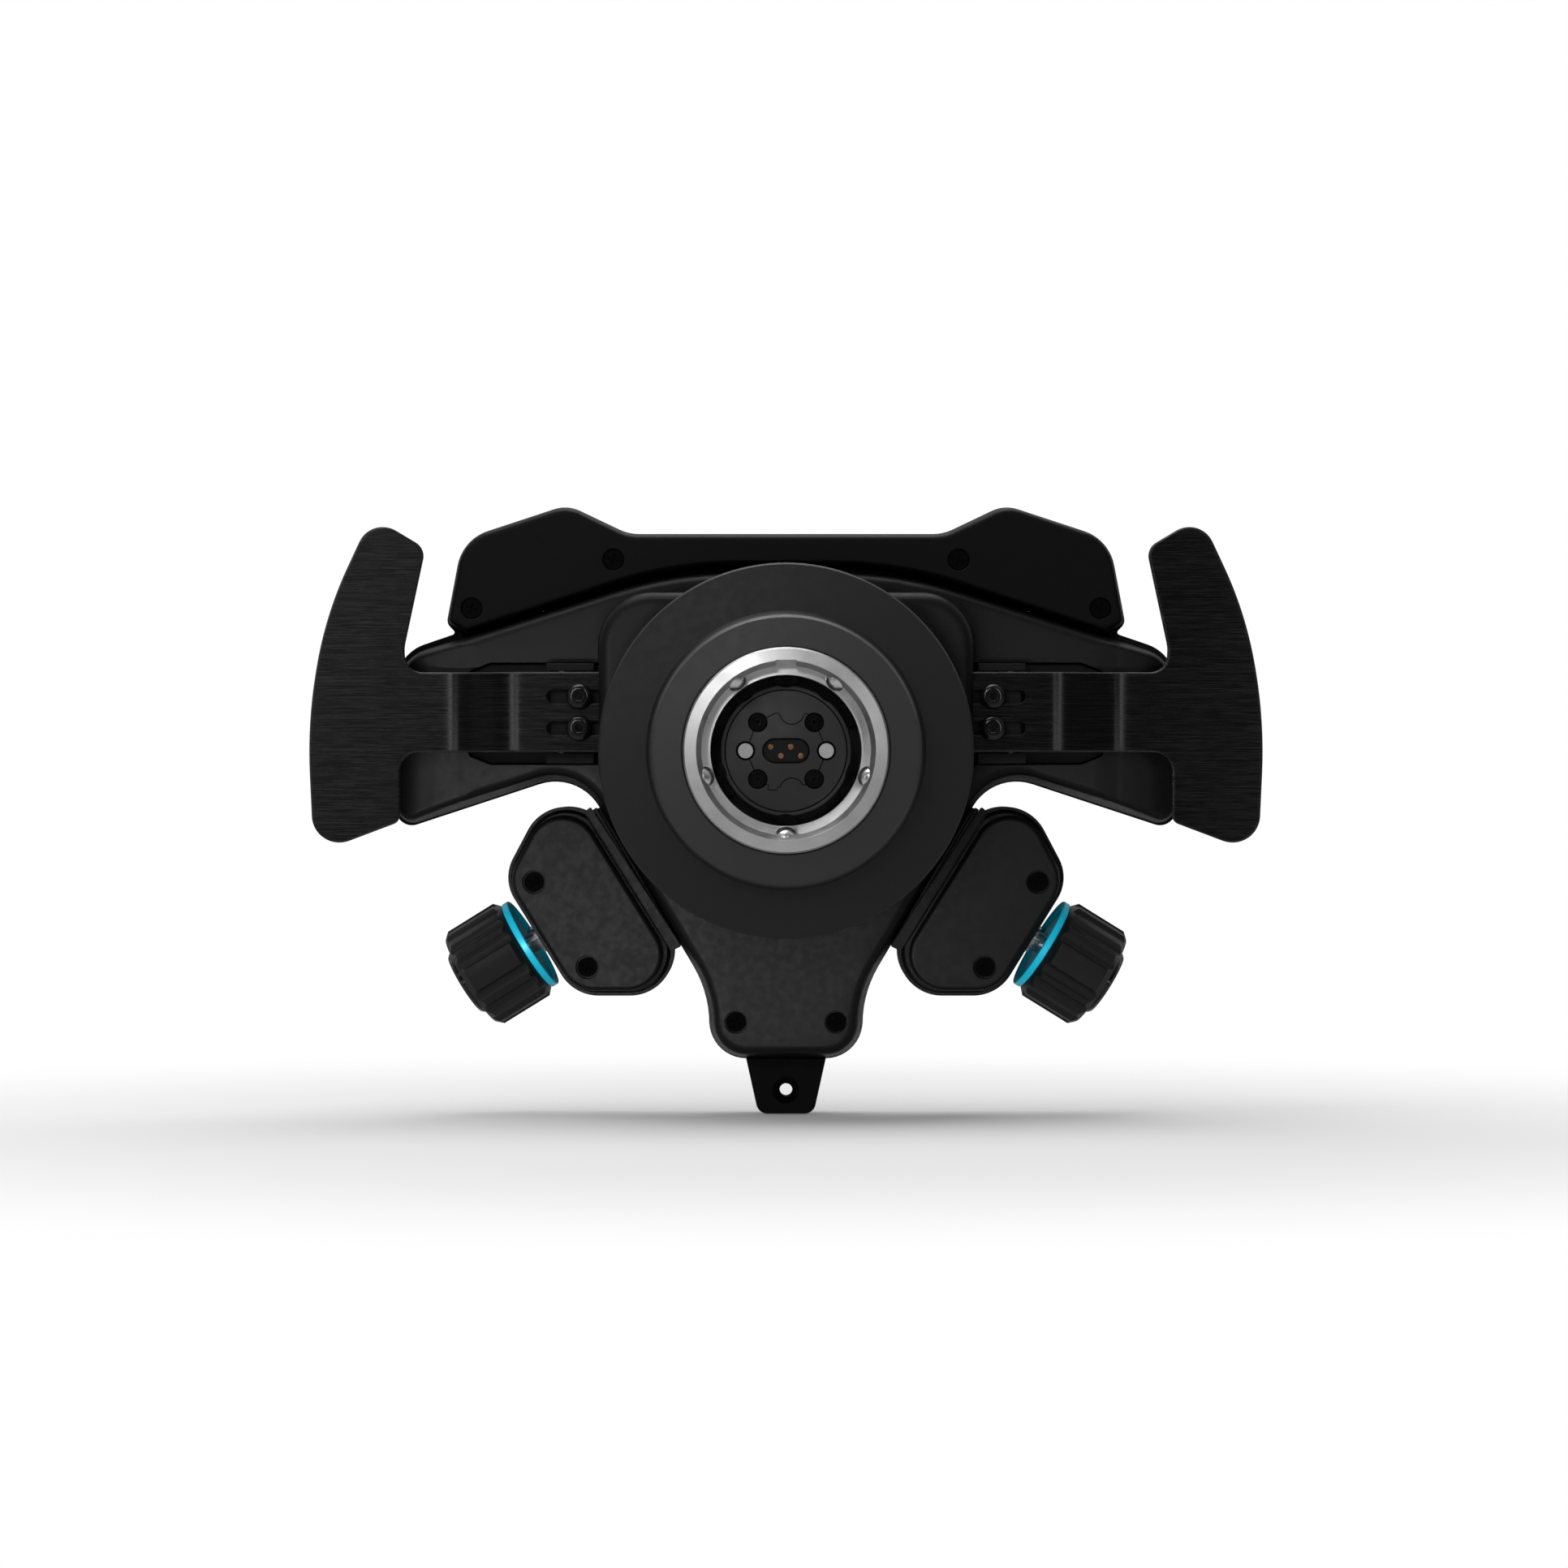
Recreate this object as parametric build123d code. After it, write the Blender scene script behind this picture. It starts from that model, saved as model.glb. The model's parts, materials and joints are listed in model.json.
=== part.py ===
from build123d import *
import math
import os

# Sim-racing wheel hub: button module with quick release, two shift paddles and two thumb encoders.
#
# Frame: millimetres, +Z up, the wheel turns about Y. +Y points to the driver and is called the
# front, so the quick release is at the rear (low Y) and the rim mounting face at high Y.
# The origin is on the turning axis at the ledge in the socket bore, 8 mm inside the ring's rear
# face. Depth stations below are counted from that rear face; node() moves every piece to the origin.
# The two sides mirror each other about the YZ plane. Outlines and places are given for the side
# at negative X. Files ending in _left lie there, which is left as seen from the rear; the
# buttons alone are named as the driver sees them, with left at positive X.

os.makedirs("parts", exist_ok=True)

# ---------------------------------------------------------------- depth stations
Y_COLLAR = 1.5                      # rear face of the release collar
Y_LOCK = 5.5                        # rear face of the lock ring
Y_LEDGE = 8.0                       # ledge under the drive balls
Y_SLEEVE = 14.0                     # rear end of the fixed guide sleeve
Y_DISC, Y_DISC_END = 14.0, 21.5     # release flange at rest
Y_RING_END = 20.0                   # front end of the steel ring
Y_INSERT = 20.5                     # rear face of the connector insert
Y_SHOULDER = 28.0                   # body shoulder behind which the spring sits
Y_BOSS = 29.0                       # rear face of the hub boss
Y_ARM = 33.0                        # rear face of the paddle arm where it is screwed down
Y_WEB, Y_CORE = 34.0, 38.0          # web of the body; the hub core starts at its front
Y_BLADE = 40.0                      # rear face of the paddle blade
Y_MAIN = 46.0                       # rear face of the main rear cover
Y_CORE_FLOOR = 50.0                 # floor inside the hub core
Y_POD = 50.0                        # rear face of the pods
Y_EAR = 52.0                        # rear face of the upper rear cover
Y_POD_PART = 57.0                   # parting plane of the pods
Y_TAB, Y_TAB_END = 59.5, 67.5       # bottom tab
Y_BOARD = 60.0                      # rear face of the main circuit board
Y_PART = 62.0                       # parting plane, rear covers to front housing
Y_RIM = 78.0                        # front face of the housing, where the rim sits
Y_HUB = 78.6                        # front face of the aluminium hub core
Y_POD_FRONT = 80.0                  # front face of the pods
Y_PANEL = 84.0                      # front face of the raised control panels
WALL = 2.6
HUB_R = 42.0
SCREW_R = 1.5                       # cover screw shank

# ---------------------------------------------------------------- outlines: (x, z, corner radius)
# left halves, from the top centre outwards and down, at the parting plane
UPPER = [(-46.86, 64.94, 13.3), (-65.19, 73.66, 10.6), (-96.5, 63.36, 13.5),
         (-101.23, 38.3, 2.9), (-94.81, 34.67, 1.4), (-33.61, 54.53, 125.0)]
REAR = [(-33.54, 54.04, 125.0), (-115.88, 27.89, 12.1), (-115.88, -23.21, 4.8),
        (-61.97, -5.65, 15.0), (-22.89, -71.98, 33.9), (-22.89, -91.26, 11.1)]
FRONT = [(-46.86, 64.94, 13.3), (-65.19, 73.66, 10.6), (-96.5, 63.36, 13.5),
         (-101.23, 38.3, 2.9), (-98.32, 35.27, 0.73), (-116.36, 29.1, 12.5),
         (-116.36, -23.82, 4.8), (-61.97, -5.94, 15.0), (-22.89, -71.98, 33.9),
         (-22.89, -91.5, 11.1)]
BOSS = [(-55.03, 46.46, 15.5), (-55.03, -8.22, 14.3), (-28.29, -47.61, 14.3)]
TAB = [(-13.1, -86.0, 0), (-8.23, -107.9, 3.4)]
# closed outlines of the left side
PANEL = [(-50.5, 63.2, 5.0), (-65.0, 71.8, 8.5), (-94.8, 61.9, 11.6),
         (-99.2, 41.5, 5.0), (-80.0, 33.0, 6.0), (-58.0, 40.5, 6.0)]
POD = [(-66.21, -3.35, 13.0), (-84.44, -37.89, 12.1), (-62.94, -72.61, 13.0),
       (-22.91, -72.61, 13.0)]
# opening for the shifter in the rear cover
WINDOW = [(-93.8, 23.6, 1.5), (-93.8, -1.4, 1.5), (-87.2, -4.0, 2.0),
          (-45.0, -4.0, 1.0), (-45.0, 26.2, 1.0), (-87.2, 26.2, 2.0)]

# ---------------------------------------------------------------- places (x, z), left side
UPPER_SCREWS = [(-51.18, 56.86), (-93.24, 42.37)]
TRUNK_SCREWS = [(-14.79, -80.02)]
POD_SCREWS = [(-74.64, -38.73), (-58.85, -63.91)]
EAR_BUTTONS = [(-85.0, 56.5), (-67.0, 62.5), (-71.0, 47.6)]     # outer, top, inner
POD_BUTTONS = [(-57.5, -42.0)]
BUTTON_R = 5.6
BUTTON_HOLE_R = BUTTON_R + 1.55
LIGHT_HALF, LIGHT_Z = 31, (51.0, 57.0)      # light bar: half width, lower and upper edge


# ---------------------------------------------------------------- outline helpers
def mirrored(left):
    return left + [(-x, z, r) for x, z, r in reversed(left)]


def both_sides(places):
    """The places mirrored to positive X, then the places themselves."""
    return [(side * x, z) for side in (-1, 1) for x, z in places]


def on_circle(radius, count, start=0):
    """Evenly spaced (x, z) places on a circle round the turning axis, from start degrees."""
    angles = [math.radians(start + i * 360 / count) for i in range(count)]
    return [(radius * math.cos(angle), radius * math.sin(angle)) for angle in angles]


def unit(start, end):
    length = math.hypot(end[0] - start[0], end[1] - start[1])
    return ((end[0] - start[0]) / length, (end[1] - start[1]) / length)


def inset(points, depth):
    """Moves each side of a counter-clockwise outline inwards; round corners stay concentric."""
    moved = []
    for i, (x, z, r) in enumerate(points):
        before = unit(points[i - 1], (x, z))
        after = unit((x, z), points[(i + 1) % len(points)])
        cross = before[0] * after[1] - before[1] * after[0]
        on_before = (x - before[1] * depth, z + before[0] * depth)
        on_after = (x - after[1] * depth, z + after[0] * depth)
        corner = on_before
        if abs(cross) >= 1e-6:
            travel = ((on_after[0] - on_before[0]) * after[1]
                      - (on_after[1] - on_before[1]) * after[0]) / cross
            corner = (on_before[0] + before[0] * travel, on_before[1] + before[1] * travel)
        if r > 0:
            r = max(r - depth, 0.25) if cross > 0 else max(r + depth, 0.25)
        moved.append((*corner, r))
    return moved


def outline(points, place):
    """A wire of lines and tangent arcs through a polygon with a radius at each corner."""
    corners = []        # arc start, middle and end; the middle is None at a sharp corner
    for i, (x, z, r) in enumerate(points):
        if r <= 0:
            corners.append(((x, z), None, (x, z)))
            continue
        back = unit((x, z), points[i - 1])
        ahead = unit((x, z), points[(i + 1) % len(points)])
        angle = math.acos(max(-1, min(1, back[0] * ahead[0] + back[1] * ahead[1])))
        reach = r / math.tan(angle / 2)
        middle = (back[0] + ahead[0], back[1] + ahead[1])
        length = math.hypot(*middle)
        gap = r / math.sin(angle / 2) - r
        corners.append(((x + back[0] * reach, z + back[1] * reach),
                        (x + middle[0] / length * gap, z + middle[1] / length * gap),
                        (x + ahead[0] * reach, z + ahead[1] * reach)))
    edges = []
    for i, (start, middle, end) in enumerate(corners):
        if middle is not None:
            edges.append(Edge.make_three_point_arc(
                Vector(*place(*start)), Vector(*place(*middle)), Vector(*place(*end))))
        following = corners[(i + 1) % len(corners)][0]
        if math.hypot(following[0] - end[0], following[1] - end[1]) > 1e-4:
            edges.append(Edge.make_line(Vector(*place(*end)), Vector(*place(*following))))
    return Wire(edges)


def at_y(y):
    return lambda x, z: (x, y, z)


# ---------------------------------------------------------------- solid helpers
# Cutters overshoot the faces they open, mostly by 1 mm.
def prism(points, y0, y1):
    return Solid.extrude(Face(outline(points, at_y(y0))), Vector(0, y1 - y0, 0))


def lofted(*sections):
    """Ruled loft through (outline, y) sections."""
    return Solid.make_loft([outline(points, at_y(y)) for points, y in sections], ruled=True)


def tapered(points, y0, y1, draft):
    """From the outline at y0 to the outline moved inwards by draft at y1."""
    return lofted((points, y0), (inset(points, draft), y1))


def tapered_round(points, y_base, y_top, draft, radius):
    """Like tapered, with the edge at y_top rounded in four flats."""
    sign = 1 if y_top > y_base else -1
    sections = [(points, y_base)]
    for k in range(5):
        angle = math.pi / 2 * k / 4
        sections.append((inset(points, draft + radius * (1 - math.cos(angle))),
                         y_top - sign * radius * (1 - math.sin(angle))))
    return lofted(*sections)


def side_prism(points_xy, z0, z1):
    """Extrudes an outline drawn in plan (x, y) along Z."""
    base = outline(points_xy, lambda x, y: (x, y, z0))
    return Solid.extrude(Face(base), Vector(0, 0, z1 - z0))


def stadium(width, height, y0, y1):
    half_w, half_h = width / 2, height / 2
    r = half_h - 0.02
    return prism([(-half_w, half_h, r), (-half_w, -half_h, r),
                  (half_w, -half_h, r), (half_w, half_h, r)], y0, y1)


def revolved(points, axis):
    corners = [Vector(*point) for point in points]
    edges = [Edge.make_line(corners[i - 1], corners[i]) for i in range(1, len(corners))]
    edges.append(Edge.make_line(corners[-1], corners[0]))
    return Solid.revolve(Face(Wire(edges)), 360, axis)


def turned(profile):
    """Revolves (radius, y) points about Y."""
    return revolved([(r, y, 0) for r, y in profile], Axis.Y)


def spun(profile):
    """Revolves (radius, z) points about Z."""
    return revolved([(r, 0, z) for r, z in profile], Axis.Z)


def facing_front(x, y, z):
    return Plane(origin=(x, y, z), x_dir=(1, 0, 0), z_dir=(0, 1, 0))


def rod(x, z, radius, y0, y1):
    """Cylinder along Y."""
    return Solid.make_cylinder(radius, y1 - y0, facing_front(x, y0, z))


def upright(radius, z0, z1, x=0.0, y=0.0):
    """Cylinder along Z."""
    return Solid.make_cylinder(radius, z1 - z0, Plane(origin=(x, y, z0)))


def ball(x, y, z, radius):
    return Solid.make_sphere(radius).moved(Location((x, y, z)))


def box(x0, x1, y0, y1, z0, z1):
    return Solid.make_box(x1 - x0, y1 - y0, z1 - z0, Plane(origin=(x0, y0, z0)))


def one(shape):
    """The single solid of a boolean result, or the shape itself."""
    solids = shape.solids()
    return solids[0] if len(solids) == 1 else shape


def round_edges(shape, pick, *radii):
    """Fillets the picked edges with the first radius that works."""
    edges = [edge for edge in shape.edges() if pick(edge)]
    if not edges:
        return shape
    for radius in radii:
        # guards against a radius the kernel cannot fillet: the next smaller one is used
        try:
            rounded = shape.fillet(radius, edges)
            if rounded.is_valid and rounded.volume > 0:
                return one(rounded)
        except Exception:
            continue
    return shape


def lies_at(y):
    """Picks edges that lie in the plane at depth y."""
    def pick(edge):
        bounds = edge.bounding_box()
        return abs(bounds.min.Y - y) < 0.02 and abs(bounds.max.Y - y) < 0.02
    return pick


def flip(shape):
    return shape.mirror(Plane.YZ)


def both(shape):
    return [shape, flip(shape)]


def node(name, *shapes):
    """Writes one file, moved so that the ledge depth becomes y = 0."""
    to_origin = Location((0, -Y_LEDGE, 0))
    solids = [solid.moved(to_origin) for shape in shapes for solid in shape.solids()]
    export_step(Compound(solids) if len(solids) > 1 else solids[0], "parts/" + name + ".step")


def node_pair(name, *shapes):
    node(name + "_left", *shapes)
    node(name + "_right", *[flip(shape) for shape in shapes])


# ---------------------------------------------------------------- quick release ring and balls
RING_R, MOUTH_R, CONE_R, BORE_R = 29.65, 25.8, 24.4, 21.8
BALL_R, BALL_CIRCLE_R, BALL_Y, BALLS = 3.8, 25.7, 5.0, 5
BALL_START = 270                    # degrees; the first ball is at the bottom

ring = turned([(RING_R - 0.5, 0), (MOUTH_R, 0), (CONE_R, 2.2), (CONE_R, Y_LEDGE),
               (BORE_R, Y_LEDGE), (BORE_R, Y_RING_END), (RING_R, Y_RING_END), (RING_R, 0.5)])
ball_places = on_circle(BALL_CIRCLE_R, BALLS, BALL_START)
for x, z in ball_places:
    ring -= ball(x, BALL_Y, z, BALL_R + 0.04)
ring -= box(-3.0, 3.0, -1, 5.5, 20.0, 25.9)          # key slot at the top
node("qr_ring", one(ring))
node("drive_balls", *[ball(x, BALL_Y, z, BALL_R) for x, z in ball_places])

# ---------------------------------------------------------------- fixed body and its bolts
# The body guides the collar on its sleeve and bolts to the hub core.
SLEEVE_R, SHOULDER_R, BODY_BORE_R = 34.0, 40.0, 26.0
CABLE_BORE_R = 8.0                  # opening through body and core
BOLT_HEAD_R, BOLT_HEAD_H, BOLT_R, BOLT_LENGTH, BOLT_SOCKET_R = 3.5, 4, 1.95, 14, 1.5

qr_body = turned([(RING_R + 0.05, Y_SLEEVE), (SLEEVE_R, Y_SLEEVE), (SLEEVE_R, Y_SHOULDER),
                  (SHOULDER_R, Y_SHOULDER), (SHOULDER_R, Y_WEB), (HUB_R, Y_WEB), (HUB_R, Y_CORE),
                  (CABLE_BORE_R, Y_CORE), (CABLE_BORE_R, Y_WEB), (BODY_BORE_R, Y_WEB),
                  (BODY_BORE_R, Y_RING_END), (RING_R + 0.05, Y_RING_END)])
bolt_places = on_circle(21.8, 6, 30)
bolts = []
for x, z in bolt_places:
    qr_body -= rod(x, z, BOLT_R + 0.25, Y_WEB - 1, Y_CORE + 1)
    bolt = (rod(x, z, BOLT_HEAD_R, Y_WEB - BOLT_HEAD_H, Y_WEB)
            + rod(x, z, BOLT_R, Y_WEB, Y_WEB + BOLT_LENGTH))
    bolt -= rod(x, z, BOLT_SOCKET_R, Y_WEB - BOLT_HEAD_H - 1, Y_WEB - 2)
    bolts.append(one(bolt))
node("qr_body", one(qr_body))
node("qr_bolts", *bolts)

# ---------------------------------------------------------------- release collar, lock ring, spring
COLLAR_R, DISC_R = 39.0, 54.4
SPRING_POCKET_R, Y_SPRING_POCKET = 38.4, 18.5

# stepped sleeve with the wide pull flange
node("release_collar", turned([
    (RING_R + 0.15, Y_COLLAR + 0.4), (RING_R + 0.55, Y_COLLAR), (COLLAR_R - 0.8, Y_COLLAR),
    (COLLAR_R, Y_COLLAR + 0.8), (COLLAR_R, Y_DISC - 1.5), (COLLAR_R + 1.5, Y_DISC),
    (DISC_R - 0.5, Y_DISC), (DISC_R, Y_DISC + 0.5), (DISC_R, Y_DISC_END - 1.0),
    (DISC_R - 1.0, Y_DISC_END), (SPRING_POCKET_R, Y_DISC_END),
    (SPRING_POCKET_R, Y_SPRING_POCKET), (SLEEVE_R + 0.06, Y_SPRING_POCKET),
    (SLEEVE_R + 0.06, Y_LOCK), (RING_R + 0.15, Y_LOCK)]))
node("lock_ring", turned([(RING_R + 0.08, Y_LOCK), (SLEEVE_R, Y_LOCK), (SLEEVE_R, Y_LOCK + 4),
                          (RING_R + 0.6, Y_LOCK + 4), (RING_R + 0.08, Y_LOCK + 3.1)]))

# return spring round the sleeve, at its pressed length against the body shoulder
SPRING_R, SPRING_WIRE_R, SPRING_PITCH, SPRING_TURNS = 36.2, 0.6, 1.75, 2.4
spring_length = SPRING_PITCH * SPRING_TURNS
helix = Edge.make_helix(SPRING_PITCH, spring_length, SPRING_R)
wire_start = Plane(origin=helix.position_at(0), z_dir=helix.tangent_at(0))
spring = Solid.sweep(Face(Wire.make_circle(SPRING_WIRE_R, wire_start)), helix)
y_spring = Y_SHOULDER - SPRING_WIRE_R - spring_length - 0.02
node("release_spring", spring.rotate(Axis.X, -90).moved(Location((0, y_spring, 0))))

# ---------------------------------------------------------------- connector insert
INSERT_R, PLATE_R, PLATE_T = 19.1, 17.6, 1.6
STEM_R, Y_STEM = 17.0, 27.0
SCALLOP_CIRCLE_R, SCALLOP_R = 23.4, 5.0
CONN_SCREWS = [(-8.2, 8.25), (8.2, 8.25), (-8.2, -8.25), (8.2, -8.25)]
DOWELS = [(-11.75, 0), (11.75, 0)]
DOWEL_R = 2.19
CONTACT_OPENING = (13.8, 7.35)      # width and height of the stadium-shaped pocket
PINS = [(-4.43, 1.16), (1.36, 1.16), (-1.49, -1.47), (4.29, -1.47)]

y_plate_end = Y_INSERT + PLATE_T
insert = turned([(0, y_plate_end), (PLATE_R + 0.15, y_plate_end), (PLATE_R + 0.15, Y_INSERT),
                 (INSERT_R - 0.3, Y_INSERT), (INSERT_R, Y_INSERT + 0.3), (INSERT_R, Y_STEM - 1),
                 (STEM_R, Y_STEM), (STEM_R, Y_WEB), (0, Y_WEB)])
scallops = on_circle(SCALLOP_CIRCLE_R, BALLS, BALL_START) + on_circle(SCALLOP_CIRCLE_R, 1, 90)
for x, z in scallops:
    insert -= rod(x, z, SCALLOP_R, Y_INSERT - 1, Y_STEM)
plate = rod(0, 0, PLATE_R, Y_INSERT, y_plate_end)
for x, z in CONN_SCREWS:
    plate -= rod(x, z, 2.55, Y_INSERT - 1, Y_INSERT + 2)
    insert -= rod(x, z, 2.55, Y_INSERT, Y_INSERT + 3.2)
    insert -= rod(x, z, 1.3, Y_INSERT, Y_INSERT + 9)
for x, z in DOWELS:
    plate -= rod(x, z, 2.75, Y_INSERT - 1, Y_INSERT + 2)
    insert -= rod(x, z, DOWEL_R + 0.01, Y_INSERT, Y_INSERT + 7)
plate -= stadium(*CONTACT_OPENING, Y_INSERT - 1, Y_INSERT + 2)
insert -= stadium(*CONTACT_OPENING, Y_INSERT, Y_INSERT + 4)
insert -= rod(0, 0, 2.6, Y_INSERT, Y_WEB + 1)        # cable hole
node("connector_insert", one(insert))
node("connector_plate", one(plate))


def insert_screw(x, z):
    head_end = Y_INSERT + 3.1
    return one(rod(x, z, 2.45, Y_INSERT + 0.15, head_end)
               + rod(x, z, 1.25, head_end, Y_INSERT + 8.5)
               - rod(x, z, 0.8, Y_INSERT, Y_INSERT + 1.9))


node("insert_screws", *[insert_screw(x, z) for x, z in CONN_SCREWS])
node("insert_dowels", *[rod(x, z, DOWEL_R, Y_INSERT + 0.1, Y_INSERT + 6.9) for x, z in DOWELS])

# contact block with its spring pins
block = stadium(13.0, 6.6, Y_INSERT + 1.2, Y_INSERT + 4)
pins = []
for x, z in PINS:
    block -= rod(x, z, 0.85, Y_INSERT, Y_INSERT + 5)
    pins.append(one(rod(x, z, 0.83, Y_INSERT + 1.0, Y_INSERT + 3.9)
                    + rod(x, z, 0.5, Y_INSERT + 0.3, Y_INSERT + 1.0)))
node("pogo_block", one(block))
node("pogo_pins", *pins)

# ---------------------------------------------------------------- hub core
HUB_BORE_R = 26.0
RIM_CIRCLE_D, RIM_HOLES, RIM_HOLE_R, RIM_HOLE_DEPTH = 70.0, 6, 2.1, 16

core = turned([(CABLE_BORE_R, Y_CORE), (HUB_R, Y_CORE), (HUB_R, Y_HUB - 0.6),
               (HUB_R - 0.6, Y_HUB), (HUB_BORE_R, Y_HUB), (HUB_BORE_R, Y_CORE_FLOOR),
               (CABLE_BORE_R, Y_CORE_FLOOR)])
for x, z in bolt_places:
    core -= rod(x, z, BOLT_R + 0.1, Y_CORE - 1, Y_CORE_FLOOR + 1)
for x, z in on_circle(RIM_CIRCLE_D / 2, RIM_HOLES):
    core -= rod(x, z, RIM_HOLE_R, Y_HUB - RIM_HOLE_DEPTH, Y_HUB + 1)
node("hub_core", one(core))

# main board with a chip and a tall component; the cable ends in a shallow hole in its rear
BOARD_T = 1.6
y_chips = Y_BOARD + BOARD_T
main_board = one(rod(0, 0, 24.5, Y_BOARD, y_chips)
                 + box(-8, 8, y_chips, y_chips + 1.6, -8, 8)
                 + box(-14, -10, y_chips, y_chips + 2.9, -6, 6)
                 - rod(0, 0, 3.0, Y_BOARD - 1, Y_BOARD + 0.8))
board_posts = [rod(x, z, 2.5, Y_CORE_FLOOR, Y_BOARD) for x, z in on_circle(20, 3)]
node("harness_cable", rod(0, 0, 2.4, Y_INSERT + 4.2, Y_BOARD + 0.6))

# stepped cap in the front of the hub bore
Y_CAP, Y_CAP_STEP, Y_CAP_END = 74.6, 77.4, 78.2
cap = rod(0, 0, HUB_BORE_R - 0.1, Y_CAP, Y_CAP_STEP) + rod(0, 0, 22.0, Y_CAP_STEP, Y_CAP_END)
node("front_cap", round_edges(one(cap), lies_at(Y_CAP_END), 0.6, 0.3))

# ---------------------------------------------------------------- main rear cover
DRAFT = 2.2
# wing tips: the rear face bends forward beyond TIP_X, rising TIP_RISE over TIP_SPAN
TIP_X, TIP_R, TIP_RISE, TIP_SPAN = -98.0, 34.0, 14.5, 32.0


def tip_cut(offset):
    """What the left wing tip loses; offset moves the bent face forward."""
    y = Y_MAIN + offset
    inner_x = TIP_X + TIP_R * math.tan(math.atan(TIP_RISE / TIP_SPAN) / 2) + 0.3
    outer_x = TIP_X - TIP_SPAN
    return side_prism([(inner_x, y, 0), (inner_x, y - 6, 0), (outer_x, y - 6, 0),
                       (outer_x, y + TIP_RISE, 0), (TIP_X, y, TIP_R)], -45, 60)


def tip_edge(edge):
    """Picks the rear rim of the bent wing tips."""
    low, high = edge.bounding_box().min, edge.bounding_box().max
    if high.Y > Y_PART - 3 or min(abs(low.X), abs(high.X)) < abs(TIP_X) + 7.0:
        return False
    return high.Y - low.Y < 6 or high.Z - low.Z > 20


def screw_well(shape, x, z, y_face, sink_r, wall=1.4, y_end=Y_PART, inside=None):
    """A post with a counterbored screw hole in front of a rear face."""
    post = rod(x, z, sink_r + wall, y_face + 1.2, y_end)
    shape = one(shape + (one(post & inside) if inside is not None else post))
    shape = shape - rod(x, z, sink_r, y_face - 3, y_face + 2.2)
    return one(shape - rod(x, z, SCREW_R + 0.2, y_face, y_end + 1))


rear_outline, boss_outline = mirrored(REAR), mirrored(BOSS)
rear = tapered_round(rear_outline, Y_PART, Y_MAIN, DRAFT - 0.6, 2.8)
for cutter in both(tip_cut(0)):
    rear = one(rear - cutter)
rear = round_edges(rear, tip_edge, 2.0, 1.2, 0.7)
rear_solid = rear                   # before hollowing; bounds the screw posts
boss = round_edges(prism(boss_outline, Y_BOSS, Y_MAIN + 3), lies_at(Y_BOSS), 4.0, 3.0, 2.0)
rear = one(rear + boss)
cavity = lofted((inset(rear_outline, WALL), Y_PART),
                (inset(rear_outline, WALL + DRAFT), Y_MAIN + WALL))
for cutter in both(tip_cut(WALL + 0.2)):
    cavity = one(cavity - cutter)
rear = one(rear - cavity)
rear = one(rear - prism(inset(boss_outline, WALL), Y_BOSS + 2.5, Y_MAIN + WALL + 1))
rear = one(rear - rod(0, 0, SHOULDER_R + 0.5, Y_BOSS - 1, Y_BOSS + 5))
for cutter in both(prism(WINDOW, Y_BOSS + 2.5, Y_MAIN + WALL + 0.5)):
    rear = rear - cutter
rear = one(rear)
for x, z in both_sides(TRUNK_SCREWS):
    rear = screw_well(rear, x, z, Y_MAIN, 3.33, wall=5.0, inside=rear_solid)
node("rear_cover", rear)

# ---------------------------------------------------------------- upper rear cover
UPPER_DRAFT = 0.9
upper_outline = mirrored(UPPER)
upper = tapered(upper_outline, Y_PART, Y_EAR, UPPER_DRAFT)
upper = round_edges(upper, lies_at(Y_EAR), 1.6, 1.2, 0.7)
upper = one(upper - lofted((inset(upper_outline, WALL), Y_PART),
                           (inset(upper_outline, WALL + UPPER_DRAFT), Y_EAR + WALL)))
for x, z in both_sides(UPPER_SCREWS):
    upper = screw_well(upper, x, z, Y_EAR, 3.25)
node("upper_rear_cover", upper)

# ---------------------------------------------------------------- front housing with the bottom tab
TAB_HOLE_Z, TAB_HOLE_R, TAB_SINK_R = -100.83, 1.9, 4.1

front_outline = mirrored(FRONT)
front = tapered_round(front_outline, Y_PART, Y_RIM, 0.3, 1.8)
panel = round_edges(prism(PANEL, Y_RIM - 4, Y_PANEL), lies_at(Y_PANEL), 1.6, 1.0)
for shape in both(panel):
    front = front + shape
front = one(front)
hollow = prism(inset(front_outline, WALL), Y_PART, Y_RIM - WALL)
for shape in both(prism(inset(PANEL, WALL), Y_RIM - 5, Y_PANEL - WALL)):
    hollow = hollow + shape
front = one(front - one(hollow))

tab = round_edges(prism(mirrored(TAB), Y_TAB, Y_TAB_END), lies_at(Y_TAB), 0.8, 0.5)
tab = one(tab - prism([(-30, -60, 0), (-30, -88.6, 0), (30, -88.6, 0), (30, -60, 0)],
                      Y_TAB - 1, Y_TAB_END + 1))
# behind the parting plane the tab stays clear of the rear cover's bottom wall
tab_clearance = box(-30, 30, Y_TAB - 1, Y_PART, -91.55, -60)
front = one(front + one(tab - tab_clearance))
front = one(front - rod(0, TAB_HOLE_Z, TAB_HOLE_R, Y_TAB - 1, Y_TAB_END + 1)
            - Solid.make_cone(TAB_SINK_R + 0.2, TAB_HOLE_R, 2.5,
                              facing_front(0, Y_TAB - 0.2, TAB_HOLE_Z)))
hub_opening = rod(0, 0, HUB_R + 0.1, Y_PART, Y_RIM + 1)
front = one(front - hub_opening)
for x, z in both_sides(UPPER_SCREWS + TRUNK_SCREWS):
    front = one(front + rod(x, z, 3.6, Y_PART, Y_RIM - 1)
                - rod(x, z, SCREW_R + 0.03, Y_PART - 1, Y_PART + 11))
# an upright rib in each wing
for rib in both(box(-108, -106, Y_PART, Y_RIM - 1, -14, 22)):
    front = one(front + rib)
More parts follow.
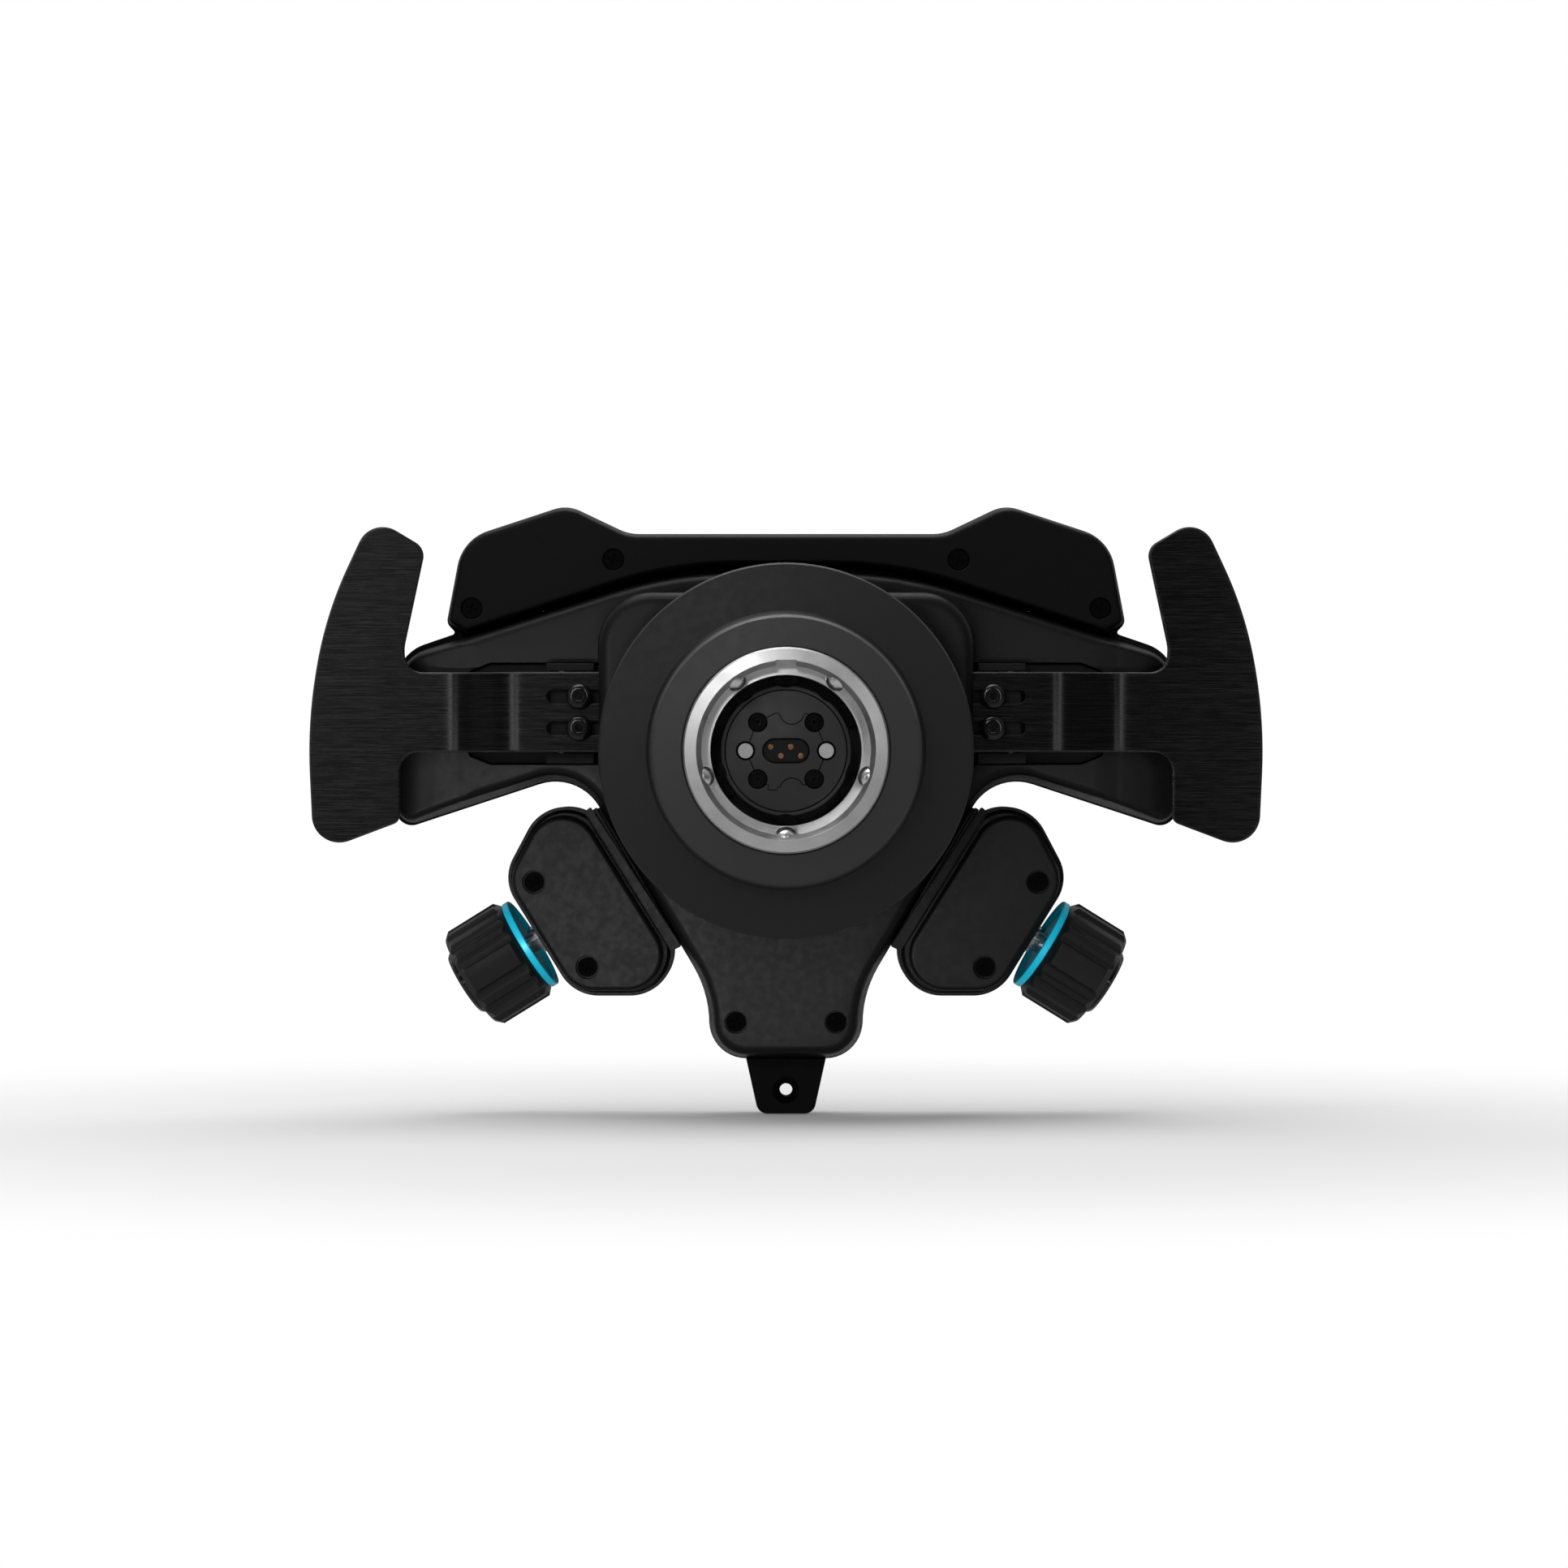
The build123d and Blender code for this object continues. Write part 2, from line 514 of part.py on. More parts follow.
# the opening is cut again after the posts and ribs
front = one(front - hub_opening)
for x, z in both_sides(EAR_BUTTONS):
    front = front - rod(x, z, BUTTON_HOLE_R, Y_PANEL - WALL - 1, Y_PANEL + 1)
front = front - box(-LIGHT_HALF, LIGHT_HALF, Y_RIM - WALL - 1, Y_RIM + 1, *LIGHT_Z)
node("front_housing", one(front))

# ---------------------------------------------------------------- light bar and circuit boards
y_lens = Y_RIM - WALL               # rear face of the lens
y_lens_front = Y_RIM + 0.4
y_leds = y_lens - 3.0               # front face of the LED board
lens = box(-LIGHT_HALF, LIGHT_HALF, y_lens, y_lens_front, *LIGHT_Z)
node("light_bar_lens", round_edges(lens, lies_at(y_lens_front), 0.35))
led_board = box(-32.5, 32.5, y_lens - 4.6, y_leds, 49.5, 58.5)
leds = [box(x - 1.4, x + 1.4, y_leds, y_lens - 1.4, 52.6, 55.4) for x in range(-28, 29, 7)]
node("circuit_boards", main_board, led_board, *leds)
node("board_posts", *board_posts, *[rod(x, 54.0, 1.2, y_leds, y_lens) for x in (-24.5, 24.5)])

# ---------------------------------------------------------------- buttons and bezels
DISH_R = 22                         # sphere that hollows the button faces
# in the order of both_sides, so "left" is the driver's left, at positive X
BUTTON_NAMES = ["left_outer", "left_top", "left_inner", "right_outer", "right_top",
                "right_inner", "pod_left", "pod_right"]
button_places = [(x, z, Y_PANEL) for x, z in both_sides(EAR_BUTTONS)]
button_places += [(x, z, Y_POD_FRONT) for x, z in both_sides(POD_BUTTONS)]
bezels = []
for name, (x, z, y) in zip(BUTTON_NAMES, button_places):
    bezel = (rod(x, z, BUTTON_R + 1.5, y - WALL, y + 0.1) + rod(x, z, BUTTON_R + 2.3, y, y + 0.9)
             - rod(x, z, BUTTON_R + 0.06, y - 4, y + 2))
    bezels.append(round_edges(one(bezel), lies_at(y + 0.9), 0.3))
    button = round_edges(rod(x, z, BUTTON_R, y - 2.4, y + 2.8), lies_at(y + 2.8), 0.8, 0.5)
    node("button_" + name, one(button - ball(x, y + 2.3 + DISH_R, z, DISH_R)))
node("button_bezels", *bezels)

# ---------------------------------------------------------------- pods
pod = round_edges(prism(POD, Y_POD_PART, Y_POD_FRONT), lies_at(Y_POD_FRONT), 2.0, 1.2)
pod = one(pod - prism(inset(POD, WALL), Y_POD_PART, Y_POD_FRONT - WALL))
for x, z in POD_BUTTONS:
    pod = one(pod - rod(x, z, BUTTON_HOLE_R, Y_POD_FRONT - WALL - 1, Y_POD_FRONT + 1))

# the raised face of the cover sits low and outboard
cover_top = [(x - 0.9, z - 0.6, r) for x, z, r in inset(POD, 2.3)]
cover = one(tapered(inset(POD, 0.9), Y_POD_PART, Y_POD_PART - 2.5, 1.0)
            + prism(cover_top, Y_POD, Y_POD_PART - 2.0))
cover = round_edges(cover, lies_at(Y_POD), 1.4, 1.0, 0.6)
cover = one(cover - prism(inset(POD, WALL + 2.75), Y_POD + WALL, Y_POD_PART))
# flat flank where the bracket strip lies against the cover
flank = [(-69.35, -3.35, 0), (-26.05, -72.61, 0), (-20.0, -72.61, 0), (-60.0, -3.35, 0)]
cover = one(cover - prism(flank, 54.3, Y_POD_PART + 0.5))
for x, z in POD_SCREWS:
    cover = screw_well(cover, x, z, Y_POD, 3.44, y_end=Y_POD_PART)
    pod = one(pod + rod(x, z, 3.4, Y_POD_PART, Y_POD_FRONT - 1)
              - rod(x, z, SCREW_R + 0.03, Y_POD_PART - 1, Y_POD_PART + 14))
node_pair("pod_cover", cover)


def point_along(start, end, distance):
    direction = unit(start, end)
    return (start[0] + direction[0] * distance, start[1] + direction[1] * distance)


def bracket_leg(pod_shift, trunk_shift, y0, y1):
    """Fills the gap between the pod's flank and the trunk wall; the shifts move its sides in x."""
    pod_side = [point_along(POD[0], POD[3], distance) for distance in (16.5, 63)]
    trunk_side = [point_along(FRONT[7], FRONT[8], distance) for distance in (59, 12.5)]
    return prism([(x + pod_shift, z, 0) for x, z in pod_side]
                 + [(x + trunk_shift, z, 0) for x, z in trunk_side], y0, y1)


bracket_strip = prism([(-58.09, -16.4, 0.5), (-59.6, -17.8, 0.5), (-34.1, -59.3, 0.5),
                       (-31.0, -57.8, 0.5)], 54.5, Y_POD_PART)
node_pair("pod_bracket", one(bracket_strip
                             + bracket_leg(0.02, -0.9, Y_POD_PART, Y_PART + 0.5)
                             + bracket_leg(0, 0, Y_PART + 0.4, Y_RIM - 4)))

# ---------------------------------------------------------------- thumb encoders
# Drawn about their own Z axis, with z = 0 at the middle of the ring.
KNOB_AT = (-76.41, 65.0, -57.47)    # centre of the ring
KNOB_DIR = (-0.8502, -0.5265)       # axis direction in x and z
KNOB_LEAN = 4.0                     # degrees towards the driver
KNOB_R, KNOB_RING_R, KNOB_CAP_R, SHAFT_R = 16.1, 14.4, 10.2, 3.0
KNOB_BASE, KNOB_TOP = 1.05, 20.7
KNOB_FLUTES, FLUTE_R = 18, 2.4
CASE_HALF = 6.2

lean = math.radians(KNOB_LEAN)
knob_axis = Vector(KNOB_DIR[0] * math.cos(lean), math.sin(lean), KNOB_DIR[1] * math.cos(lean))
knob_x = Vector(KNOB_DIR[1], 0, -KNOB_DIR[0]).normalized() * -1
knob_plane = Plane(origin=KNOB_AT, x_dir=knob_x, z_dir=knob_axis.normalized())


def on_axis(shape):
    """Places a shape on the left encoder's axis, its Z pointing away from the pod."""
    return shape.moved(Location(knob_plane))


bore_r = SHAFT_R + 0.02
cap_seat = KNOB_TOP - 1.6
knob_ring = spun([(bore_r, 0.2), (12.4, 0.2), (13.6, -1.05), (KNOB_RING_R - 0.25, -1.05),
                  (KNOB_RING_R, -0.8), (KNOB_RING_R, 0.8), (KNOB_RING_R - 0.25, KNOB_BASE),
                  (bore_r, KNOB_BASE)])
knob = spun([(bore_r, KNOB_BASE), (KNOB_R - 2.4, KNOB_BASE), (KNOB_R, KNOB_BASE + 2.2),
             (KNOB_R, KNOB_TOP - 1.7), (KNOB_R - 1.6, KNOB_TOP), (KNOB_CAP_R + 0.1, KNOB_TOP),
             (KNOB_CAP_R + 0.1, cap_seat), (bore_r, cap_seat)])
# shallow flutes round the grip; the one facing the rear is left out, leaving a plain land
for i in range(1, KNOB_FLUTES):
    angle = math.pi / 2 + 2 * math.pi * i / KNOB_FLUTES
    knob = knob - upright(FLUTE_R, KNOB_BASE - 1, KNOB_TOP + 1,
                          (KNOB_R + 1.2) * math.cos(angle), (KNOB_R + 1.2) * math.sin(angle))
knob_cap = spun([(0, cap_seat), (KNOB_CAP_R, cap_seat), (KNOB_CAP_R, KNOB_TOP + 1.6),
                 (KNOB_CAP_R - 0.7, KNOB_TOP + 2.3), (0, KNOB_TOP + 2.5)])
case = upright(4.4, -6.8, -2.6) + box(-CASE_HALF, CASE_HALF, -CASE_HALF, CASE_HALF, -12.3, -6.7)
case = one(case - upright(SHAFT_R + 0.05, -13, 0))
node_pair("knob_ring", on_axis(knob_ring))
node_pair("knob", on_axis(one(knob)))
node_pair("knob_cap", on_axis(knob_cap))
node_pair("encoder_shaft", on_axis(upright(SHAFT_R, -12.0, cap_seat)))
node("encoder_cases", *both(on_axis(case)))
# the pod housing is finished by the encoder's bore
node_pair("pod_housing", one(pod - on_axis(upright(4.45, -7.6, 0))))


# ---------------------------------------------------------------- cover screws, all alike
def cover_screw(x, z, y_head):
    """Cross-slotted screw, turned 20 degrees."""
    y_neck = y_head + 1.4
    long, short = 1.7, 0.35         # half length and half width of each slot
    screw = one(rod(x, z, 2.9, y_head, y_neck) + rod(x, z, SCREW_R - 0.02, y_neck, y_neck + 18.0))
    for half_x, half_z in ((long, short), (short, long)):
        screw = screw - box(x - half_x, x + half_x, y_head - 1, y_head + 0.8,
                            z - half_z, z + half_z)
    return screw.rotate(Axis((x, 0, z), (0, 1, 0)), 20)


screw_groups = ((UPPER_SCREWS, Y_EAR), (TRUNK_SCREWS, Y_MAIN), (POD_SCREWS, Y_POD))
node("cover_screws", *[cover_screw(side * x, z, y_face + 0.8)
                       for side in (-1, 1) for places, y_face in screw_groups for x, z in places])

# ---------------------------------------------------------------- shift paddles
PADDLE_T = 3.0
ARM_END, BEND_1, BEND_2, STRIP_END = -50.0, -79.2, -97.3, -142.5    # x from the inner end outwards
BEND_R = 6.0
BEND_LIMIT_X = -98.5                # all bend lines lie inboard of this
PADDLE = [(ARM_END, 23.2, 0.3), (-112.01, 23.2, 5.26), (-112.37, 30.61, 9.5),
          (-106.16, 59.77, 4.7), (-121.98, 69.24, 7.6), (-135.56, 40.18, 114.0),
          (-140.82, 8.39, 143.0), (-139.03, -30.33, 8.1), (-113.69, -20.77, 2.9),
          (-113.69, -0.31, 5.7), (ARM_END, -0.31, 0.3)]
SLOT_Z, SLOT_X0, SLOT_X1, SLOT_R = (15.95, 6.68), -68.1, -54.0, 2.05
PADDLE_SCREW_X = -60.56
HEAD_R, HEAD_H, SHANK_R, HEX_R = 3.8, 2.2, 1.95, 1.45


def plate_profile(line, thickness, bend_r):
    """Plan outline (x, y, corner radius) of a bent plate whose rear face follows the line."""
    slopes = [math.atan2(end[1] - start[1], start[0] - end[0])
              for start, end in zip(line, line[1:])]
    rear_face, front_face = [], []
    for i, (x, y) in enumerate(line):
        bent = 0 < i < len(line) - 1
        r = bend_r if bent else 0
        shift = thickness * math.tan((slopes[i - 1] + slopes[i]) / 2) if bent else 0
        rear_face.append((x, y, r))
        front_face.append((x + shift, y + thickness, r))
    return rear_face + front_face[::-1]


def face_edge(edge):
    """Picks the rims of the plate's two faces, except at its inner end."""
    low, high = edge.bounding_box().min, edge.bounding_box().max
    if high.X > ARM_END - 0.5 and low.X > ARM_END - 1.0:
        return False
    # the short edges through the plate's thickness and the lines across its bends stay
    if high.Y - low.Y > 2.0 and high.X - low.X < 4.0:
        return False
    across = abs(high.Z - low.Z) > 22.0 and abs(high.X - low.X) < 0.01
    return not (across and edge.center().X > BEND_LIMIT_X)


strip_line = [(ARM_END, Y_ARM), (BEND_1, Y_ARM), (BEND_2, Y_BLADE), (STRIP_END, Y_BLADE)]
strip = side_prism(plate_profile(strip_line, PADDLE_T, BEND_R), -45, 85)
paddle = one(strip & prism(PADDLE, Y_ARM - 2, Y_BLADE + PADDLE_T + 2))
paddle = round_edges(paddle, face_edge, 0.55, 0.4, 0.3)
for z in SLOT_Z:
    for x in (SLOT_X0, SLOT_X1):
        paddle = paddle - rod(x, z, SLOT_R, Y_ARM - 3, Y_ARM + 5)
    paddle = paddle - box(SLOT_X0, SLOT_X1, Y_ARM - 3, Y_ARM + 5, z - SLOT_R, z + SLOT_R)
node_pair("shift_paddle", one(paddle))


def paddle_screw(x, z):
    """Button-head screw with a hexagonal socket."""
    y_head = Y_ARM - HEAD_H
    screw = one(rod(x, z, HEAD_R, y_head, Y_ARM) + rod(x, z, SHANK_R, Y_ARM, Y_ARM + 9))
    screw = round_edges(screw, lies_at(y_head), 1.7, 1.2, 0.8)
    hexagon = [(x + hex_x, z + hex_z, 0) for hex_x, hex_z in on_circle(HEX_R, 6)]
    return one(screw - prism(hexagon[::-1], Y_ARM - 3, Y_ARM - 0.9))


node_pair("paddle_screws", *[paddle_screw(PADDLE_SCREW_X, z) for z in SLOT_Z])

# ---------------------------------------------------------------- shifter rocker, frame and switch
HINGE_X, HINGE_Y, HINGE_R = -66.0, 42.5, 1.5
ROCKER_Z0, ROCKER_Z1, Y_ROCKER_END = 0.2, 22.8, 44.4
MAG_X, MAG_Z, MAG_R = -55.0, 11.5, 3.5
Y_FRAME, Y_FRAME_END = 48.6, 51.4
CHEEK_X0, CHEEK_X1, CHEEK_Y = -70.5, -56.5, 39.0
FRAME = [(-93.4, 23.3, 1.2), (-93.4, -1.1, 1.2), (-87.0, -3.6, 1.6),
         (-47.2, -3.6, 0.5), (-47.2, 25.8, 0.5), (-87.0, 25.8, 1.6)]


def hinge_cylinder(radius, z0, z1):
    return upright(radius, z0, z1, HINGE_X, HINGE_Y)


# the rocker turns on the hinge pin; the paddle arm is screwed to its rear face
rocker = box(-69.0, -50.5, Y_ARM + PADDLE_T, Y_ROCKER_END, ROCKER_Z0, ROCKER_Z1)
rocker = one(rocker + hinge_cylinder(3.4, ROCKER_Z0, ROCKER_Z1))
rocker = one(rocker - hinge_cylinder(HINGE_R + 0.04, -8, 32))
for z in SLOT_Z:
    rocker = rocker - rod(PADDLE_SCREW_X, z, SHANK_R + 0.05, 35, 46)
rocker = one(rocker - rod(MAG_X, MAG_Z, MAG_R + 0.02, 42.4, 46)
             - box(-60.5, -50, 40.5, 46, -5, 6.4))
node_pair("shifter_rocker", rocker)
node_pair("rocker_magnet", rod(MAG_X, MAG_Z, MAG_R, 42.42, Y_ROCKER_END))

# fixed frame with a cheek below and above the rocker, and a foot at its front
frame = prism(FRAME, Y_FRAME, Y_FRAME_END)
for z0, z1 in ((-3.6, -0.6), (23.6, 25.8)):
    frame = frame + box(CHEEK_X0, CHEEK_X1, CHEEK_Y, Y_FRAME + 0.4, z0, z1)
frame = one(frame)
frame = one(frame - hinge_cylinder(HINGE_R + 0.01, -8, 32)
            - rod(MAG_X, MAG_Z, MAG_R + 0.02, 47, 50.6))
frame = one(frame + box(-90.0, -84.0, Y_FRAME_END, Y_RIM - WALL, 4, 18))
node_pair("shifter_frame", frame)
node("shifter_hinge_pins", *both(hinge_cylinder(HINGE_R, -3.4, 25.6)))
node("shifter_magnets", *both(rod(MAG_X, MAG_Z, MAG_R, 47.5, 50.58)))

# switch body with its plunger to the rear
switch = (box(-59.5, -51.5, 46.6, Y_FRAME, -0.4, 5.6)
          + box(-58.0, -56.4, 46.0, 46.6, 2.0, 3.4))
node("shifter_switches", *both(one(switch)))
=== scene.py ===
# A control hub with shift paddles, pods and knobs around a round connector insert.
# X runs across, Z is up, and the side seen by the camera faces -Y.
# The turned parts share the Y axis through the origin. Lengths are metres unless marked mm.
import json
import math
import bpy
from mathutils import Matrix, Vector


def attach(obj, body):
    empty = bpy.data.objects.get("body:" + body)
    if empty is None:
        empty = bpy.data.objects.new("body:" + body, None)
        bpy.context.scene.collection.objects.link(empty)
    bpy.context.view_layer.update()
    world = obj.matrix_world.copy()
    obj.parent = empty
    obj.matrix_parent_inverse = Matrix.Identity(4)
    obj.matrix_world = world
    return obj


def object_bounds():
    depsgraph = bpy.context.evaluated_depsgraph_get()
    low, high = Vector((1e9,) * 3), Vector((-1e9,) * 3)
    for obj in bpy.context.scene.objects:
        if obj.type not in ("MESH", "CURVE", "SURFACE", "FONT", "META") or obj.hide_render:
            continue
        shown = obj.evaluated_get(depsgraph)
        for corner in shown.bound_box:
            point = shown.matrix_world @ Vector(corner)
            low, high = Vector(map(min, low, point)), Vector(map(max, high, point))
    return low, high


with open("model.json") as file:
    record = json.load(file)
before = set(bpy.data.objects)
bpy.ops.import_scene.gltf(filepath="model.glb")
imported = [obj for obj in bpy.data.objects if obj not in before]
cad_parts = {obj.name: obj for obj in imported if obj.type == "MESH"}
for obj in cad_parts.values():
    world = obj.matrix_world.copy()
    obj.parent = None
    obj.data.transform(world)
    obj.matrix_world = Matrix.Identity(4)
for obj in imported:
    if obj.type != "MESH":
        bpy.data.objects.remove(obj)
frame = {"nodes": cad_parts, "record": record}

CAD_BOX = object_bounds()
NODES = frame["nodes"]
MM = 0.001

# radii over which the painted highlight on the sliding collar gives way to the disc behind it
COLLAR_HIGHLIGHT_EDGE = (0.0394, 0.0400)

# the paddle outline, outside its screw slots: |x| range, middle height, |z - middle| range
PADDLE_OUTER_X = (0.0705, 0.0720)
PADDLE_MIDDLE_Z = 0.01145
PADDLE_OUTER_Z = (0.0098, 0.0106)

# pairs of bends: |x| of the inner and outer bend, and the width each turns over
PADDLE_MADE = (0.0792, 0.0973, 0.0024)
PADDLE_SHOWN = (0.0812, 0.0967, 0.0110)
TIP_MADE = (9.0, 9.1, 0.1)                    # far off the piece: the mesh has no bend here
TIP_SHOWN = (0.0975, 9.0, 0.003)


# ------------------------------------------------------------------ node helpers
class Graph:
    """Short-hand for building a material's node tree."""

    def __init__(self, name):
        self.material = bpy.data.materials.new(name)
        self.material.use_nodes = True
        self.tree = self.material.node_tree
        self.tree.nodes.clear()
        self.out = self.add("ShaderNodeOutputMaterial")
        self.coord = self.add("ShaderNodeTexCoord").outputs["Object"]

    def add(self, kind, inputs=None, **props):
        node = self.tree.nodes.new(kind)
        for key, value in props.items():
            setattr(node, key, value)
        for key, value in (inputs or {}).items():
            self.put(node.inputs[key], value)
        return node

    def put(self, socket, value):
        if isinstance(value, bpy.types.NodeSocket):
            self.tree.links.new(value, socket)
        else:
            socket.default_value = value

    def noise(self, scale, detail=3.0, rough=0.5, coord=None, stretch=(1, 1, 1), loc=(0, 0, 0)):
        coord = coord or self.coord
        if stretch != (1, 1, 1) or loc != (0, 0, 0):
            mapping = {"Vector": coord, "Scale": stretch, "Location": loc}
            coord = self.add("ShaderNodeMapping", mapping).outputs["Vector"]
        values = {"Vector": coord, "Scale": scale, "Detail": detail, "Roughness": rough}
        return self.add("ShaderNodeTexNoise", values).outputs["Fac"]

    def math(self, operation, first, second=0.0):
        return self.add("ShaderNodeMath", {0: first, 1: second}, operation=operation).outputs[0]

    def times(self, value, factor):
        return self.math("MULTIPLY", value, factor)

    def vector(self, operation, *vectors, output="Vector"):
        node = self.add("ShaderNodeVectorMath", dict(enumerate(vectors)), operation=operation)
        return node.outputs[output]

    def split(self):
        return self.add("ShaderNodeSeparateXYZ", {0: self.coord}).outputs

    def combine(self, **axes):
        return self.add("ShaderNodeCombineXYZ", axes).outputs[0]

    def ramp(self, value, across, to=(0.0, 1.0)):
        """Eases from to[0] to to[1] while value crosses the given range."""
        node = self.add("ShaderNodeMapRange", {
            "Value": value, "From Min": across[0], "From Max": across[1],
            "To Min": to[0], "To Max": to[1]}, interpolation_type="SMOOTHSTEP")
        return node.outputs["Result"]

    def mix(self, fac, first, second):
        node = self.add("ShaderNodeMix", {"Factor": fac}, data_type="RGBA")
        for key, color in (("A", first), ("B", second)):
            is_socket = isinstance(color, bpy.types.NodeSocket)
            self.put(node.inputs[key], color if is_socket else (*color, 1))
        return node.outputs["Result"]

    def bump(self, height, strength, distance, normal):
        return self.add("ShaderNodeBump", {
            "Height": height, "Strength": strength, "Distance": distance,
            "Normal": normal}).outputs["Normal"]

    def soft_normal(self, radius):
        return self.add("ShaderNodeBevel", {"Radius": radius}, samples=4).outputs["Normal"]

    def turned(self):
        """Distance from the turning axis, and a coordinate constant around that axis."""
        x, y, z = self.split()
        squares = self.math("ADD", self.times(x, x), self.times(z, z))
        radius = self.math("SQRT", squares)
        return radius, self.combine(X=radius, Y=y)

    def dished(self, normal, amount):
        """Leans the normal outwards from the turning axis, as on a slightly conical face."""
        if not amount:
            return normal
        x, _, z = self.split()
        outward = self.vector("NORMALIZE", self.combine(X=x, Z=z))
        lean = self.add("ShaderNodeVectorMath", operation="SCALE",
                        inputs={0: outward, "Scale": amount}).outputs["Vector"]
        return self.vector("NORMALIZE", self.vector("ADD", normal, lean))

    def bent(self, normal, lean, made, shown):
        """Leans the normal in the shown zone between two bends instead of the made one."""
        x = self.split()[0]
        distance = self.math("ABSOLUTE", x)
        zones = []
        for inner, outer, width in (shown, made):
            half = width / 2
            rise = self.ramp(distance, across=(inner - half, inner + half))
            fall = self.ramp(distance, across=(outer - half, outer + half))
            zones.append(self.math("SUBTRACT", rise, fall))
        extra = self.times(self.math("SUBTRACT", *zones), lean)
        sideways = self.combine(X=self.times(self.math("SIGN", x), extra))
        return self.vector("NORMALIZE", self.vector("ADD", normal, sideways))

    def edge_mask(self, soft, across=(0.02, 0.25)):
        """1 on rounded corners, 0 on flats: how far the rounded normal leans from the true one.
        It places edge wear together with painted edge highlights.
        """
        true_normal = self.add("ShaderNodeNewGeometry").outputs["Normal"]
        dot = self.vector("DOT_PRODUCT", soft, true_normal, output="Value")
        return self.ramp(self.math("SUBTRACT", 1.0, dot), across)

    def radial_sheen(self, amount):
        """Surface inputs that stretch highlights as on a face turned about Y."""
        if not amount:
            return {}
        tangent = self.add("ShaderNodeTangent", direction_type="RADIAL", axis="Y")
        return {"Anisotropic": amount, "Tangent": tangent.outputs["Tangent"]}

    def surface(self, color, rough, normal, extra):
        values = {"Base Color": color, "Roughness": rough, "Normal": normal, **extra}
        shader = self.add("ShaderNodeBsdfPrincipled", values)
        self.put(self.out.inputs["Surface"], shader.outputs["BSDF"])
        return self.material


def grey(level):
    """A grey with a trace of blue."""
    return (level, level, level * 1.02)


def shade(base, gain):
    return tuple(c * gain for c in base)


def capped(base, gain):
    return tuple(min(1, c * gain) for c in base)


# ------------------------------------------------------------------ materials
# In the materials that take them, edge is how much brighter rounded corners are than the base
# colour, partly edge wear and partly a painted edge highlight, and radius is how far the
# corners are rounded in shading.
def plastic(name, base, rough, grain=2600, edge=1.6, radius=0.0004, spec=0.5, bump=0.35,
            tips=False):
    """Grained moulded plastic; tips adds a lean to the normal at the far left and right."""
    net = Graph(name)
    soft = net.soft_normal(radius)
    edge_wear_and_highlight = net.edge_mask(soft)
    large = net.noise(scale=22, rough=0.55, loc=(3.1, 1.7, 4.2))
    mid = net.noise(scale=420, rough=0.6)
    fine = net.noise(scale=grain, detail=2, rough=0.6)
    col = net.mix(large, shade(base, gain=1 - 0.12), shade(base, gain=1 + 0.12))
    specks = net.ramp(fine, across=(0.35, 0.7), to=(0.0, 0.35))
    col = net.mix(specks, col, shade(base, gain=1.35))
    # corners painted lighter: partly edge wear, partly a painted edge highlight
    patchy_edges = net.times(edge_wear_and_highlight, net.ramp(mid, across=(0.35, 0.65), to=(0.35, 1.0)))
    col = net.mix(net.times(patchy_edges, factor=0.55), col, shade(base, gain=edge))
    gloss = net.ramp(mid, across=(0.3, 0.7), to=(rough - 0.04, rough + 0.05))
    gloss = net.math("SUBTRACT", gloss, net.times(edge_wear_and_highlight, factor=0.08))
    normal = net.bent(soft, lean=-0.22, made=TIP_MADE, shown=TIP_SHOWN) if tips else soft
    normal = net.bump(fine, strength=bump, distance=0.00002, normal=normal)
    return net.surface(col, gloss, normal, {"Specular IOR Level": spec})


def anodised(name, base, rough, metallic, turned=False, edge=2.2, radius=0.00035,
             aniso=0.0, vary=0.08, dish=0.0):
    """Bead-blasted and dyed aluminium; turned faces also show fine circular tool marks, and on
    them the collar face is painted lighter than the disc, a painted highlight.
    """
    net = Graph(name)
    soft = net.soft_normal(radius)
    edge_wear_and_highlight = net.edge_mask(soft)
    large = net.noise(scale=18, loc=(1.2, 0.4, 2.2))
    fine = net.noise(scale=5200, detail=2, rough=0.6)
    mid = net.noise(scale=300, detail=4, rough=0.65)
    col = net.mix(large, shade(base, gain=1 - vary), shade(base, gain=1 + vary))
    specks = net.ramp(fine, across=(0.4, 0.75), to=(0.0, 0.3))
    col = net.mix(specks, col, shade(base, gain=1.5))
    height = fine
    if turned:                                # painted highlight: the collar face is painted lighter than the disc of the same piece
        distance, around = net.turned()
        col = net.mix(net.ramp(distance, across=COLLAR_HIGHLIGHT_EDGE), shade(base, gain=2.3), col)
        marks = net.noise(scale=4200, detail=2, coord=around)
        height = net.math("ADD", net.times(marks, factor=1.6), fine)
    # corners painted lighter: partly edge wear, partly a painted edge highlight
    patchy_edges = net.times(edge_wear_and_highlight, net.ramp(mid, across=(0.3, 0.6), to=(0.4, 0.9)))
    col = net.mix(patchy_edges, col, capped(base, gain=edge))
    gloss = net.ramp(mid, across=(0.3, 0.7), to=(rough - 0.04, rough + 0.06))
    normal = net.bump(height, strength=0.3, distance=0.000015, normal=net.dished(soft, dish))
    extra = {"Metallic": metallic, **net.radial_sheen(aniso)}
    return net.surface(col, gloss, normal, extra)


